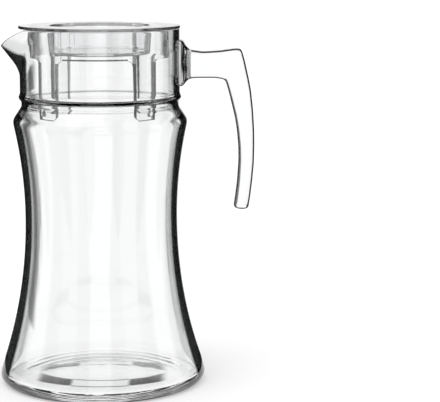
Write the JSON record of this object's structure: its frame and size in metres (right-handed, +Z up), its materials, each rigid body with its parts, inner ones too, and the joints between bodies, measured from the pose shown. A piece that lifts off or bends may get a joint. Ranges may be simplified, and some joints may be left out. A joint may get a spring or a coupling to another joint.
{
  "type": "glass water jug with lid",
  "caption": "Waisted clear glass water jug with a pinched pouring lip, a hooked glass handle and a clear lift-off lid with a sunk well and skirt legs.",
  "frame": {"origin": "centre of the foot, on the surface that the jug stands on", "axes": "+Z up along the jug's axis, +X towards the handle, -X towards the pouring lip, +Y across"},
  "size_m": [0.1742, 0.1406, 0.243],
  "materials": {
    "glass": "clear gloss",
    "clear_plastic": "clear gloss"
  },
  "bodies": {
    "jug": {"jug_body": "glass", "jug_handle": "glass"},
    "lid": {"lid": "clear_plastic"}
  },
  "joints": [
    {"name": "lid_lift", "type": "slide", "parent": "jug", "child": "lid", "axis": [0, 0, 1], "range_m": [0, 0.075]}
  ]
}
